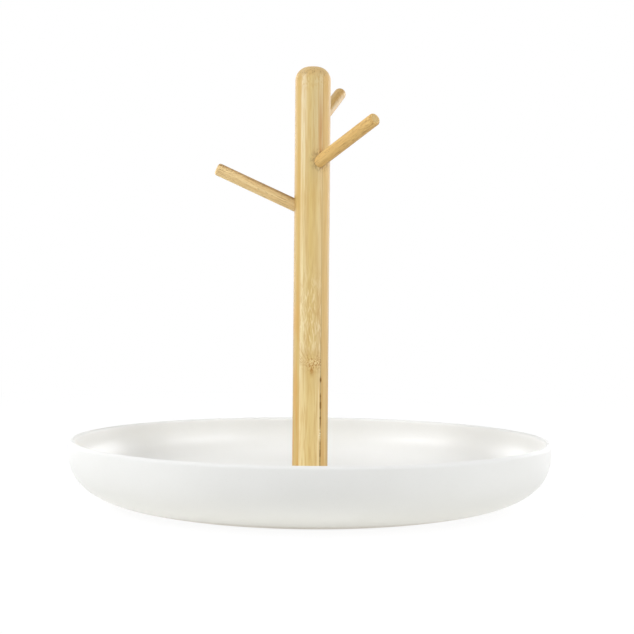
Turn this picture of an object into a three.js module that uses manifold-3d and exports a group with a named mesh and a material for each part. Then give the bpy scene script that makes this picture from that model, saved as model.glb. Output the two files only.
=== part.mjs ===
// Jewelry tree: a shallow round dish with an upright dowel in its middle, and three slanted
// branches on the dowel for rings, bracelets and chains.
// Millimetres, +Z up, seen from the front along +Y. The origin is on the table, on the dish's axis.

import * as THREE from 'three';
import { mergeVertices } from 'three/addons/utils/BufferGeometryUtils.js';
import Module from 'manifold-3d';

const wasm = await Module();
wasm.setup();

// Dish: its height runs from the base ring to the top of the rim.
const dish_diameter = 220;
const dish_height = 28.9;
const rim_thickness = 3;
const base_ring_diameter = 159;
const base_ring_width = 17;
const base_recess_depth = 3;
const recess_shoulder = 1.5;
const dish_floor_thickness = 2.8;
const floor_corner_thickness = 3.4;
const belly_reach_power = 1.61;
const belly_rise_power = 2.98;

// Post: a laminated dowel that stands on the dish's floor.
const post_diameter = 16.3;
const post_length = 193.4;
const post_top_rounding = 6.4;
const post_foot_chamfer = 0.6;

// Branches: three equal pegs, glued in slanted holes that pass a little beside the post's axis.
const branch_diameter = 5.8;
const branch_length = 49.4;
const branch_grip = 10;
const branch_tip_rounding = 1.3;
const branch_butt_chamfer = 0.5;
const branch_rise_degrees = 24.4;
const branch_side_step = 1.6;
const top_branch_drop = 26.8;
const branch_spacing = 20;
const branch_clearance = 0.3;

// Screw and washer: they hold the post from below, inside the base recess.
const screw_thread_diameter = 5;
const screw_root_diameter = 3.6;
const screw_neck_diameter = 4.4;
const screw_pitch = 2.2;
const screw_grip = 22;
const screw_tip_length = 3;
const screw_thread_fade = 2.2;
const screw_head_diameter = 9.4;
const screw_head_height = 1.9;
const screw_head_rounding = 1.1;
const cross_recess_span = 5.2;
const cross_recess_width = 1.1;
const cross_recess_depth = 1.2;
const screw_clearance = 0.3;
const washer_diameter = 15;
const washer_thickness = 1;
const washer_edge_chamfer = 0.2;

// Foot pads: soft discs let into the base ring, which lift it off the table.
const pad_count = 4;
const pad_diameter = 10;
const pad_thickness = 1.6;
const pad_proud = 0.8;
const pad_edge_rounding = 0.4;
const pad_clearance = 0.3;
const pad_first_degrees = 45;

// One overrun serves every cutter that has to leave its piece.
const cut_overrun = 2;

// Faces round each piece and along each curved stretch of an outline.
const dish_faces = 72;
const post_faces = 36;
const branch_faces = 24;
const screw_faces = 16;
const washer_faces = 32;
const pad_faces = 24;
const belly_steps = 9;
const rim_steps = 6;
const rounding_steps = 5;
const post_top_steps = 10;
const thread_steps_per_turn = 4;

// Heights above the table, each worked out from the piece below it.
const base_height = pad_proud;
const recess_height = base_height + base_recess_depth;
const floor_height = recess_height + dish_floor_thickness;
const rim_top_height = base_height + dish_height;
const rim_centre_height = rim_top_height - rim_thickness / 2;
const post_top_height = floor_height + post_length;
const washer_low_height = recess_height - washer_thickness;
const head_low_height = washer_low_height - screw_head_height;

// Radii that several pieces share.
const dish_radius = dish_diameter / 2;
const base_ring_radius = base_ring_diameter / 2;
const recess_radius = base_ring_radius - base_ring_width;
const rim_radius = dish_radius - rim_thickness / 2;
const post_radius = post_diameter / 2;
const branch_radius = branch_diameter / 2;
const branch_rise = THREE.MathUtils.degToRad(branch_rise_degrees);
const screw_hole_radius = screw_thread_diameter / 2 + screw_clearance;
const pad_radius = pad_diameter / 2;
const pad_circle_radius = base_ring_radius - base_ring_width / 2;

// Finishes
const dish_finish = new THREE.MeshStandardMaterial({ color: 0xf1f0ea, roughness: 0.45, metalness: 0 });
const post_finish = new THREE.MeshStandardMaterial({ color: 0xdcbd82, roughness: 0.5, metalness: 0 });
const branch_finish = new THREE.MeshStandardMaterial({ color: 0xd9ab68, roughness: 0.5, metalness: 0 });
const steel_finish = new THREE.MeshStandardMaterial({ color: 0xb4b6b8, roughness: 0.35, metalness: 1 });
const pad_finish = new THREE.MeshStandardMaterial({ color: 0xdedcd6, roughness: 0.8, metalness: 0 });

const tree = new THREE.Group();

// Makes a point of an outline: its distance from the axis and its height.
function spot(radius, height) {
  return new THREE.Vector2(radius, height);
}

// Points of a round stretch of an outline, from one angle to another.
function arc(centre_radius, centre_height, size, from_degrees, to_degrees, steps) {
  const points = [];
  for (let step = 0; step <= steps; step += 1) {
    const share = step / steps;
    const angle = THREE.MathUtils.degToRad(from_degrees + (to_degrees - from_degrees) * share);
    points.push(spot(centre_radius + size * Math.cos(angle), centre_height + size * Math.sin(angle)));
  }
  return points;
}

// A quarter of a superellipse: it leaves a flat floor softly and ends as an upright wall.
function belly(floor_radius, wall_radius, low, high) {
  const points = [];
  for (let step = 0; step <= belly_steps; step += 1) {
    const turn = THREE.MathUtils.degToRad(90) * (step / belly_steps);
    const reach = Math.sin(turn) ** (2 / belly_reach_power);
    const rise = 1 - Math.cos(turn) ** (2 / belly_rise_power);
    points.push(spot(floor_radius + (wall_radius - floor_radius) * reach, low + (high - low) * rise));
  }
  return points;
}

// Turns an outline round the upright axis.
function turned(outline, faces) {
  const geometry = new THREE.LatheGeometry(outline, faces);
  geometry.rotateX(THREE.MathUtils.degToRad(90));
  geometry.deleteAttribute('normal');
  geometry.deleteAttribute('uv');
  return mergeVertices(geometry);
}

// A plain round bar, used for holes.
function bar(radius, low, high, faces) {
  const outline = [spot(0, low), spot(radius, low), spot(radius, high), spot(0, high)];
  return turned(outline, faces);
}

// A geometry as a solid that can be cut.
function solid(geometry) {
  const clean = geometry.clone();
  clean.deleteAttribute('normal');
  clean.deleteAttribute('uv');
  const merged = mergeVertices(clean);
  return new wasm.Manifold(new wasm.Mesh({
    numProp: 3,
    vertProperties: new Float32Array(merged.attributes.position.array),
    triVerts: new Uint32Array(merged.index.array),
  }));
}

// A solid as a geometry again.
function geometry_of(body) {
  const mesh = body.getMesh();
  const geometry = new THREE.BufferGeometry();
  geometry.setAttribute('position', new THREE.BufferAttribute(mesh.vertProperties, mesh.numProp));
  geometry.setIndex(new THREE.BufferAttribute(mesh.triVerts, 1));
  return geometry;
}

// Cuts a list of geometries out of one.
function cut(geometry, cutters) {
  let body = solid(geometry);
  for (const cutter of cutters) {
    body = body.subtract(solid(cutter));
  }
  return geometry_of(body);
}

// Names a piece and gives it its finish.
function piece(name, geometry, finish) {
  const mesh = new THREE.Mesh(geometry, finish.clone());
  mesh.name = name;
  return mesh;
}

// Dish
// The underside has a base ring round a shallow recess, and the rim is fully round.
function dish_outline() {
  const inner_radius = dish_radius - rim_thickness;
  const inner_floor_radius = base_ring_radius - floor_corner_thickness;
  const outline = [];
  outline.push(spot(screw_hole_radius, recess_height));
  outline.push(...arc(
    recess_radius - recess_shoulder, recess_height - recess_shoulder,
    recess_shoulder, 90, 0, rounding_steps,
  ));
  outline.push(spot(recess_radius, base_height));
  outline.push(...belly(base_ring_radius, dish_radius, base_height, rim_centre_height));
  outline.push(...arc(rim_radius, rim_centre_height, rim_thickness / 2, 0, 180, rim_steps).slice(1, -1));
  outline.push(...belly(inner_floor_radius, inner_radius, floor_height, rim_centre_height).reverse());
  outline.push(spot(screw_hole_radius, floor_height));
  outline.push(spot(screw_hole_radius, recess_height));
  return outline;
}

// Foot pads
// They stand evenly round the base ring, each in a shallow socket of the dish.
const pad_outline = [
  spot(0, 0),
  ...arc(pad_radius - pad_edge_rounding, pad_edge_rounding, pad_edge_rounding, -90, 0, rounding_steps),
  spot(pad_radius, pad_thickness),
  spot(0, pad_thickness),
];

const pad_sockets = [];
for (let number = 1; number <= pad_count; number += 1) {
  const angle = THREE.MathUtils.degToRad(pad_first_degrees + (360 / pad_count) * (number - 1));
  const x = pad_circle_radius * Math.cos(angle);
  const y = pad_circle_radius * Math.sin(angle);
  const pad = piece(`foot_pad_${number}`, turned(pad_outline, pad_faces), pad_finish);
  pad.position.set(x, y, 0);
  tree.add(pad);
  const socket = bar(pad_radius + pad_clearance, base_height - cut_overrun, pad_thickness, pad_faces);
  socket.translate(x, y, 0);
  pad_sockets.push(socket);
}
tree.add(piece('dish', cut(turned(dish_outline(), dish_faces), pad_sockets), dish_finish));

// Branches
// Each one has a seat: a group on the post's axis that turns to the branch's heading, steps
// sideways and leans out, so that the branch and its hole share one place.
const branches = [
  { name: 'back_branch', heading_degrees: 74.4 },
  { name: 'right_branch', heading_degrees: -49.2 },
  { name: 'left_branch', heading_degrees: 182.4 },
];
const branch_entry = Math.sqrt(post_radius ** 2 - branch_side_step ** 2) / Math.cos(branch_rise);
const branch_butt = branch_entry - branch_grip;
const branch_tip = branch_butt + branch_length;

const branch_outline = [
  spot(0, branch_butt),
  spot(branch_radius - branch_butt_chamfer, branch_butt),
  spot(branch_radius, branch_butt + branch_butt_chamfer),
  ...arc(
    branch_radius - branch_tip_rounding, branch_tip - branch_tip_rounding,
    branch_tip_rounding, 0, 90, rounding_steps,
  ),
  spot(0, branch_tip),
];

const post_holes = [];
branches.forEach((branch, order) => {
  const turn = new THREE.Group();
  turn.position.z = post_top_height - top_branch_drop - branch_spacing * order;
  turn.rotation.z = THREE.MathUtils.degToRad(branch.heading_degrees);
  const seat = new THREE.Group();
  seat.position.y = -branch_side_step;
  seat.rotation.y = THREE.MathUtils.degToRad(90) - branch_rise;
  seat.add(piece(branch.name, turned(branch_outline, branch_faces), branch_finish));
  turn.add(seat);
  tree.add(turn);
  seat.updateWorldMatrix(true, false);
  const hole = bar(
    branch_radius + branch_clearance, branch_butt - branch_clearance,
    branch_entry + post_radius + cut_overrun, branch_faces,
  );
  hole.applyMatrix4(seat.matrixWorld);
  post_holes.push(hole);
});

// Post
// It stands on the floor of the dish, with a bore for the screw in its foot.
const post_outline = [
  spot(0, floor_height),
  spot(post_radius - post_foot_chamfer, floor_height),
  spot(post_radius, floor_height + post_foot_chamfer),
  ...arc(
    post_radius - post_top_rounding, post_top_height - post_top_rounding,
    post_top_rounding, 0, 90, post_top_steps,
  ),
  spot(0, post_top_height),
];
const screw_bore_top = floor_height + screw_grip + screw_clearance;
post_holes.push(bar(screw_hole_radius, floor_height - cut_overrun, screw_bore_top, screw_faces));
tree.add(piece('post', cut(turned(post_outline, post_faces), post_holes), post_finish));

// Washer
const washer_hole_radius = screw_neck_diameter / 2 + screw_clearance;
const washer_radius = washer_diameter / 2;
const washer_outline = [
  spot(washer_hole_radius, washer_low_height),
  spot(washer_radius - washer_edge_chamfer, washer_low_height),
  spot(washer_radius, washer_low_height + washer_edge_chamfer),
  spot(washer_radius, recess_height),
  spot(washer_hole_radius, recess_height),
  spot(washer_hole_radius, washer_low_height),
];
tree.add(piece('screw_washer', turned(washer_outline, washer_faces), steel_finish));

// Screw
// The thread climbs from the top of the plain neck to the foot of the pointed tip.
const thread_low = floor_height;
const thread_high = floor_height + screw_grip - screw_tip_length;
const thread_root_radius = screw_root_diameter / 2;
const thread_depth = (screw_thread_diameter - screw_root_diameter) / 2;

function screw_outline() {
  const head_radius = screw_head_diameter / 2;
  const neck_radius = screw_neck_diameter / 2;
  const outline = [
    spot(0, head_low_height),
    ...arc(
      head_radius - screw_head_rounding, head_low_height + screw_head_rounding,
      screw_head_rounding, -90, 0, rounding_steps,
    ),
    spot(head_radius, washer_low_height),
    spot(neck_radius, washer_low_height),
    spot(neck_radius, thread_low - thread_depth),
    spot(thread_root_radius, thread_low),
  ];
  const rings = Math.ceil(((thread_high - thread_low) / screw_pitch) * thread_steps_per_turn);
  for (let ring = 1; ring <= rings; ring += 1) {
    outline.push(spot(thread_root_radius, thread_low + ((thread_high - thread_low) * ring) / rings));
  }
  outline.push(spot(0, floor_height + screw_grip));
  return outline;
}

// Raises the thread's ridge on a plain shank. It fades in and out over the thread's ends.
function raise_thread(geometry) {
  const place = geometry.attributes.position;
  for (let index = 0; index < place.count; index += 1) {
    const x = place.getX(index);
    const y = place.getY(index);
    const height = place.getZ(index);
    const fade = Math.min(height - thread_low, thread_high - height) / screw_thread_fade;
    if (fade > 0) {
      const turns = (height - thread_low) / screw_pitch - Math.atan2(y, x) / (2 * Math.PI);
      const ridge = Math.abs(2 * (turns - Math.floor(turns)) - 1);
      const growth = 1 + (thread_depth * ridge * Math.min(fade, 1)) / thread_root_radius;
      place.setXY(index, x * growth, y * growth);
    }
  }
}

// The cross-shaped recess for the driver, cut into the head from below.
function cross_cutter() {
  const near = cross_recess_width / 2;
  const far = cross_recess_span / 2;
  const shape = new THREE.Shape();
  shape.moveTo(far, -near);
  for (let arm = 0; arm < 4; arm += 1) {
    const angle = THREE.MathUtils.degToRad(90 * arm);
    for (const [along, across] of [[far, -near], [far, near], [near, near]]) {
      const x = along * Math.cos(angle) - across * Math.sin(angle);
      const y = along * Math.sin(angle) + across * Math.cos(angle);
      shape.lineTo(x, y);
    }
  }
  const depth = cross_recess_depth + cut_overrun;
  const cutter = new THREE.ExtrudeGeometry(shape, { depth, bevelEnabled: false });
  cutter.translate(0, 0, head_low_height - cut_overrun);
  return cutter;
}

const screw_geometry = turned(screw_outline(), screw_faces);
raise_thread(screw_geometry);
tree.add(piece('post_screw', cut(screw_geometry, [cross_cutter()]), steel_finish));

export default tree;
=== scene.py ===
# %% [markdown]
# # A jewelry tree in Blender
# The stand keeps rings, bracelets and chains: a shallow white dish, an upright bamboo post in
# its middle and three slanted bamboo branches. A CAD model already says where each solid is.
# Blender adds what the solids leave out, which is grain, gloss, fine edges, light and a camera.
#
# Everything is made in metres and in the CAD model's own frame, so no piece has to be fitted
# by hand. The box of the bare CAD model is kept, to compare with the dressed one at the end.

# %% Load the CAD frame
import math
import bmesh
import bpy
from mathutils import Matrix, Vector


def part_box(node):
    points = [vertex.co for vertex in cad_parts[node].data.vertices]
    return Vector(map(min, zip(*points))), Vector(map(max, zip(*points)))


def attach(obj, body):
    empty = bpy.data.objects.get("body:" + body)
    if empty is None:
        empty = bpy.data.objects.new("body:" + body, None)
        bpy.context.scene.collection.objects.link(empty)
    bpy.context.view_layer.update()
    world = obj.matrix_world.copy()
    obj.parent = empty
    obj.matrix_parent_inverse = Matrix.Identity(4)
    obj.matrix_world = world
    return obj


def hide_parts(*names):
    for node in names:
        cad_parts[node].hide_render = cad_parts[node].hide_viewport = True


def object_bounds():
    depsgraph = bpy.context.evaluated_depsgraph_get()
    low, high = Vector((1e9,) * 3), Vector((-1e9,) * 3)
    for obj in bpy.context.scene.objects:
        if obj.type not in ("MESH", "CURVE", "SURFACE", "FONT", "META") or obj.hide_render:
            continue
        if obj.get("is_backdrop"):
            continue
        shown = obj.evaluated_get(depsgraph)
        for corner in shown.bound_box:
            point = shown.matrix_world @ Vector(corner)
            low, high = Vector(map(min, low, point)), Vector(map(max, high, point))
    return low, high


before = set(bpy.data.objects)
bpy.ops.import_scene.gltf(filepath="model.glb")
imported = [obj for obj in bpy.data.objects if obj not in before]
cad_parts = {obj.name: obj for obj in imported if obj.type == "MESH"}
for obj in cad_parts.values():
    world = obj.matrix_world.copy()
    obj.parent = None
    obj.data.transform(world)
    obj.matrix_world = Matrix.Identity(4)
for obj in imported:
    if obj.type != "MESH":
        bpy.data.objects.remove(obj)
cad_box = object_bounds()
print("CAD nodes:", ", ".join(sorted(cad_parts)))

# %% [markdown]
# ## Sizes
# A box around each CAD node gives the outer sizes: how wide the dish is, how high the post is.
# Reading them from the frame is better than typing them again, because they stay right when
# the CAD model changes. What a box can't tell, such as a wall's thickness, is named here.

# %% Read the outer sizes
MM = 0.001

dish_low, dish_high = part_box("dish")
post_low, post_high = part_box("post")
screw_low, screw_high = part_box("post_screw")
washer_low, washer_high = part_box("screw_washer")
pad_low, pad_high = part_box("foot_pad_1")

dish_radius = dish_high.x
ring_height = dish_low.z
rim_top = dish_high.z
post_radius = post_high.x
post_foot = post_low.z
post_top = post_high.z
print(f"dish {2 * dish_radius / MM:.1f} mm wide, post {2 * post_radius / MM:.1f} mm thick")
print(f"the post's top is {post_top / MM:.1f} mm above the table")

# %% [markdown]
# ## The camera
# The photograph looks almost level at the stand from about 70 cm away, through a long lens,
# which is why the dish's mouth shows as such a thin oval. The place and the lens come from
# solving for a round dish and an upright post of known sizes. A camera in Blender looks along
# its own -Z axis, so its matrix has the sideways, upward and backward directions as columns.

# %% Place the camera
IMAGE_SIDE = 634
LENS_IN_PIXELS = 1542.24
camera_place = Vector((0.0, -708.89, 101.41)) * MM
look_down = math.radians(1.293)
look_right = math.radians(0.221)
camera_roll = math.radians(0.5)

forward = Vector((
    math.sin(look_right) * math.cos(look_down),
    math.cos(look_right) * math.cos(look_down),
    -math.sin(look_down),
))
level = Vector((math.cos(look_right), -math.sin(look_right), 0.0))
upward = level.cross(forward)
sideways = level * math.cos(camera_roll) + upward * math.sin(camera_roll)
upright = upward * math.cos(camera_roll) - level * math.sin(camera_roll)


def add_object(name, data):
    """An object with this data, in the scene."""
    made = bpy.data.objects.new(name, data)
    bpy.context.scene.collection.objects.link(made)
    return made


camera_data = bpy.data.cameras.new("photo_camera")
camera_data.sensor_width = 36.0
camera_data.lens = LENS_IN_PIXELS / IMAGE_SIDE * camera_data.sensor_width
camera_data.clip_start = 0.01
camera = add_object("photo_camera", camera_data)
turn = Matrix((sideways, upright, -forward)).transposed()
camera.matrix_world = Matrix.Translation(camera_place) @ turn.to_4x4()
bpy.context.scene.camera = camera
print(f"lens {camera_data.lens:.1f} mm, {camera_place.length:.3f} m from the stand")

# %% [markdown]
# ## A bench for node trees
# Finishes and rule-made shapes are both node trees, and adding each node by hand takes four or
# five lines. This small helper adds one in a single line. Where a socket's value is another
# node's output, it draws a link, and otherwise it types the value into the socket.

# %% Make the bench
class Bench:
    """Puts nodes into a tree, each in one line."""

    def __init__(self, tree):
        self.tree = tree

    def add(self, kind, sockets=None, output=0, **settings):
        """A node of this kind, by its chosen output."""
        made = self.tree.nodes.new(kind)
        for name, value in settings.items():
            setattr(made, name, value)
        for name, value in (sockets or {}).items():
            if isinstance(value, bpy.types.NodeSocket):
                self.tree.links.new(value, made.inputs[name])
            else:
                made.inputs[name].default_value = value
        return made.outputs[output]

    def math(self, operation, *values):
        """Arithmetic on one number or more."""
        return self.add("ShaderNodeMath", dict(enumerate(values)), operation=operation)

    def fold(self, operation, first, *others):
        """Takes the numbers in order, each with the result so far."""
        for other in others:
            first = self.math(operation, first, other)
        return first

    def total(self, *values):
        """The sum of several numbers."""
        return self.fold("ADD", *values)

    def less(self, *values):
        """The first number less the others."""
        return self.fold("SUBTRACT", *values)

    def product(self, *values):
        """The product of several numbers."""
        return self.fold("MULTIPLY", *values)

    def ratio(self, first, second):
        """The first number divided by the second."""
        return self.math("DIVIDE", first, second)

    def largest(self, *values):
        """The largest of several numbers."""
        return self.fold("MAXIMUM", *values)

    def weighted(self, *pairs):
        """The sum of several numbers, each times its weight."""
        return self.total(*[self.product(value, weight) for value, weight in pairs])

    def span(self, value, low, high, start=0.0, end=1.0):
        """Goes softly from start to end while value goes from low to high."""
        sockets = {0: value, 1: low, 2: high, 3: start, 4: end}
        return self.add("ShaderNodeMapRange", sockets, interpolation_type="SMOOTHSTEP")

    def hill(self, value, centre, reach):
        """1 at the centre, falling softly to 0 at the reach on either side."""
        away = self.math("ABSOLUTE", self.less(value, centre))
        return self.span(away, 0.0, reach, 1.0, 0.0)

    def parts(self, place):
        """The three parts of a vector."""
        split = self.tree.nodes.new("ShaderNodeSeparateXYZ")
        self.tree.links.new(place, split.inputs[0])
        return split.outputs[0], split.outputs[1], split.outputs[2]

    def vector(self, x, y, z):
        """A vector from three numbers."""
        return self.add("ShaderNodeCombineXYZ", {0: x, 1: y, 2: z})


print("the bench has:", ", ".join(name for name in vars(Bench) if not name.startswith("_")))

# %% [markdown]
# ## Growing shapes from an outline
# Every piece here is turned: on the real stand the post, the pegs, the screw and the washer
# come off a lathe or a roller, and the dish comes out of a round mould. A Spin or a Screw
# modifier could turn an outline too. Geometry Nodes are the better choice, because the sizes
# stay as named inputs and the same few nodes serve all the pieces.
#
# The trick is a flat grid with one row for each point of the outline. Each vertex finds its row
# from its index, takes that point of the outline, and turns it round the upright axis. Merging
# by distance then closes the seam and the poles.

# %% Nodes that turn an outline
FULL_TURN = 2 * math.pi
SEAM_GAP = 0.001 * MM


def turn_outline(bench, outline, sides):
    """Adds the nodes that turn an outline's points, given in order, into a closed skin."""
    count = bench.add("GeometryNodeAttributeDomainSize", {0: outline}, output="Point Count")
    columns = bench.total(sides, 1.0)
    grid = bench.add("GeometryNodeMeshGrid", {"Vertices X": count, "Vertices Y": columns})
    index = bench.add("GeometryNodeInputIndex")
    row = bench.math("FLOOR", bench.ratio(bench.total(index, 0.5), columns))
    column = bench.less(index, bench.product(row, columns))
    place = bench.add("GeometryNodeInputPosition")
    sample = {"Geometry": outline, "Value": place, "Index": row}
    point = bench.add("GeometryNodeSampleIndex", sample, data_type="FLOAT_VECTOR")
    angle = bench.product(bench.ratio(column, sides), FULL_TURN)
    turned = bench.add(
        "ShaderNodeVectorRotate",
        {"Vector": point, "Angle": angle},
        rotation_type="Z_AXIS",
    )
    skin = bench.add("GeometryNodeSetPosition", {"Geometry": grid, "Position": turned})
    closed = bench.add("GeometryNodeMergeByDistance", {"Geometry": skin, "Distance": SEAM_GAP})
    return bench.add("GeometryNodeFlipFaces", {"Mesh": closed})


# %% [markdown]
# A tree needs named inputs, and each one ends in the same two nodes: Realize Instances, because
# only real geometry is exported, and Set Material, which gives the piece its finish. These
# helpers start a tree, close it, and run it on a start mesh. Running it means that the modifier's
# inputs are set first, each by its socket's identifier, and the result is kept as a plain mesh.

# %% Start, close and run a tree
SOCKET_KINDS = {float: "NodeSocketFloat", int: "NodeSocketInt"}


def start_tree(name, sizes):
    """A new tree with named sizes. Returns its bench and its input sockets by name."""
    tree = bpy.data.node_groups.new(name, "GeometryNodeTree")
    face = tree.interface
    face.new_socket("Outline", in_out="INPUT", socket_type="NodeSocketGeometry")
    for label, value in sizes.items():
        face.new_socket(label, in_out="INPUT", socket_type=SOCKET_KINDS[type(value)])
    face.new_socket("Finish", in_out="INPUT", socket_type="NodeSocketMaterial")
    face.new_socket("Piece", in_out="OUTPUT", socket_type="NodeSocketGeometry")
    given = tree.nodes.new("NodeGroupInput").outputs
    return Bench(tree), {socket.name: socket for socket in given if socket.name}


def close_tree(bench, geometry, finish):
    """Adds the last two nodes and the output."""
    real = bench.add("GeometryNodeRealizeInstances", {"Geometry": geometry})
    dressed = bench.add("GeometryNodeSetMaterial", {"Geometry": real, "Material": finish})
    out = bench.tree.nodes.new("NodeGroupOutput")
    bench.tree.links.new(dressed, out.inputs["Piece"])
    return bench.tree


def plain_points(points):
    """A mesh of loose points for an outline: distance from the axis and height."""
    mesh = bpy.data.meshes.new("outline")
    mesh.from_pydata([(radius, 0.0, height) for radius, height in points], [], [])
    return mesh


def grow(name, tree, points, values):
    """Runs a tree on an outline and keeps what it makes as a plain piece."""
    start = add_object(name + "_outline", plain_points(points))
    modifier = start.modifiers.new("shape", "NODES")
    modifier.node_group = tree
    for item in tree.interface.items_tree:
        if item.in_out == "INPUT" and item.name in values:
            modifier[item.identifier] = values[item.name]
    graph = bpy.context.evaluated_depsgraph_get()
    mesh = bpy.data.meshes.new_from_object(start.evaluated_get(graph))
    bpy.data.objects.remove(start)
    return add_object(name, mesh)


lathe_bench, lathe_in = start_tree("turned piece", {"Sides": 64})
lathe_tree = close_tree(
    lathe_bench,
    turn_outline(lathe_bench, lathe_in["Outline"], lathe_in["Sides"]),
    lathe_in["Finish"],
)
print("inputs of the lathe:", ", ".join(lathe_in))

# %% [markdown]
# ## Finishing a mesh
# Real edges are sharp or soft, and light shows which. Here each mesh is cleaned, its faces are
# turned outwards, and its edges stay sharp only where two faces meet at more than 35 degrees.
# The helper prints the volume and counts the open edges: a closed solid has none.
#
# A piece then rides on the CAD model's one body and stands for the CAD nodes that it hides.

# %% Settle a piece in the frame
SHARP_FROM = math.radians(35)
CUBIC_CM = 1e-6


def settle(piece, slot, *nodes):
    """Cleans a piece's mesh and puts it in the place of its CAD nodes."""
    work = bmesh.new()
    work.from_mesh(piece.data)
    bmesh.ops.remove_doubles(work, verts=work.verts, dist=0.1 * SEAM_GAP)
    bmesh.ops.dissolve_degenerate(work, edges=work.edges, dist=0.1 * SEAM_GAP)
    bmesh.ops.recalc_face_normals(work, faces=work.faces)
    open_edges = sum(not edge.is_manifold for edge in work.edges)
    volume = work.calc_volume(signed=True) / CUBIC_CM
    work.to_mesh(piece.data)
    work.free()
    piece.data.shade_smooth()
    piece.data.set_sharp_from_angle(angle=SHARP_FROM)
    piece.data.name = piece.name
    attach(piece, "root")
    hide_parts(*nodes)
    faces = len(piece.data.polygons)
    print(f"{piece.name}: {faces} faces, {volume:.3f} cm3, {open_edges} open edges")
    return piece


def cut_out(piece, cutters):
    """Cuts other objects out of a piece and throws them away."""
    for cutter in cutters:
        modifier = piece.modifiers.new(cutter.name, "BOOLEAN")
        modifier.operation = "DIFFERENCE"
        modifier.solver = "EXACT"
        modifier.object = cutter
    graph = bpy.context.evaluated_depsgraph_get()
    mesh = bpy.data.meshes.new_from_object(piece.evaluated_get(graph))
    piece.modifiers.clear()
    piece.data = mesh
    for cutter in cutters:
        bpy.data.objects.remove(cutter)


def arc(centre_radius, centre_height, size, from_degrees, to_degrees, steps):
    """Points of a round stretch of an outline."""
    points = []
    for step in range(steps + 1):
        angle = math.radians(from_degrees + (to_degrees - from_degrees) * step / steps)
        radius = centre_radius + size * math.cos(angle)
        points.append((radius, centre_height + size * math.sin(angle)))
    return points


def low_corner(radius, low, size, steps):
    """A rounded corner at the foot of a side."""
    return arc(radius - size, low + size, size, -90, 0, steps)


def high_corner(radius, high, size, steps):
    """A rounded corner at the top of a side."""
    return arc(radius - size, high - size, size, 0, 90, steps)


# %% [markdown]
# ## Finishes
# A finish is a material made only of nodes. The helper below starts one with its plain numbers
# set on the shader itself. Tones are written as they look on a screen, from 0 to 255, and are
# turned into the linear light that Blender works with.

# %% Start a finish
def tone(red, green, blue):
    """A screen colour as linear light."""
    linear = []
    for value in (red, green, blue):
        share = value / 255
        low = share / 12.92
        high = ((share + 0.055) / 1.055) ** 2.4
        linear.append(low if share <= 0.04045 else high)
    return (*linear, 1.0)


def start_finish(name, **plain):
    """A material, the bench of its nodes and its shader."""
    finish = bpy.data.materials.new(name)
    finish.use_nodes = True
    shader = finish.node_tree.nodes["Principled BSDF"]
    for label, value in plain.items():
        shader.inputs[label.replace("_", " ")].default_value = value
    return finish, Bench(finish.node_tree), shader


def mix_tones(bench, share, first, second):
    """One colour fading into another."""
    sockets = {0: share, 6: first, 7: second}
    return bench.add("ShaderNodeMix", sockets, output=2, data_type="RGBA")


def lay_over(bench, colour, *layers):
    """Lays more tones over a colour, each by its share. A tone is three numbers or a socket."""
    for share, layer in layers:
        layer = tone(*layer) if isinstance(layer, tuple) else layer
        colour = mix_tones(bench, share, colour, layer)
    return colour


def noise(bench, place, scale, detail=2.0, roughness=0.5):
    """Soft noise, from 0 to 1, in cells of about 1 / scale."""
    sockets = {"Vector": place, "Scale": scale, "Detail": detail, "Roughness": roughness}
    return bench.add("ShaderNodeTexNoise", sockets)


def stretch(bench, place, across, along):
    """Scales a place: across the grain in x and y, and along it in z."""
    sockets = {0: place, 1: (across, across, along)}
    return bench.add("ShaderNodeVectorMath", sockets, operation="MULTIPLY")


def grain(bench, place, across, along, detail=2.0, roughness=0.6):
    """Noise in long cells: this many in a metre across the grain and along it."""
    return noise(bench, stretch(bench, place, across, along), 1.0, detail, roughness)


def use_colour(bench, shader, colour):
    """Links a pattern of colour to the shader."""
    bench.tree.links.new(colour, shader.inputs["Base Color"])


def use_surface(bench, shader, roughness, height, depth, strength):
    """Links a pattern of roughness and a relief of this depth to the shader."""
    bench.tree.links.new(roughness, shader.inputs["Roughness"])
    sockets = {"Height": height, "Distance": depth, "Strength": strength}
    relief = bench.add("ShaderNodeBump", sockets)
    bench.tree.links.new(relief, shader.inputs["Normal"])


print("a middle grey of 128 is", round(tone(128, 128, 128)[0], 3), "in linear light")

# %% [markdown]
# ## The dish's finish
# The dish is pressed from a warm white composite, and its skin is satin, neither glossy nor
# chalky. A flat white would look like paper. Three quiet patterns make it a made thing: a cloudy
# change of tone a few centimetres wide, fine flecks of filler under the skin, and an orange peel
# relief too shallow to see except where a reflection breaks up on it.
#
# Two zones differ. The rim is sanded after moulding, which leaves it rougher, so it doesn't flash
# like a wire in the light of the lamps. Low on the outside, the last three millimetres above the
# ring are painted a little darker and browner: painted shade where the wall turns under towards the
# table.

# %% Dish finish
BASE_SHADE_FULL = ring_height + 0.7 * MM
BASE_SHADE_END = ring_height + 3.2 * MM
SAND_START = rim_top - 2.4 * MM
SAND_FULL = rim_top - 0.7 * MM

dish_finish, bench, shader = start_finish("satin_white_composite", IOR=1.5)
place = bench.add("ShaderNodeTexCoord", output="Object")
height = bench.parts(place)[2]
cloud = noise(bench, place, 38.0, 2.0)
fleck = bench.span(noise(bench, place, 2600.0, 1.0), 0.62, 0.78)
peel = noise(bench, place, 900.0, 2.0)
handling = noise(bench, place, 95.0, 3.0, 0.6)
# Painted shade: the wall's lowest few millimetres are painted darker and browner.
painted_base_shade = bench.span(height, BASE_SHADE_FULL, BASE_SHADE_END, 0.75, 0.0)
sanded = bench.span(height, SAND_START, SAND_FULL)

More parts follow.
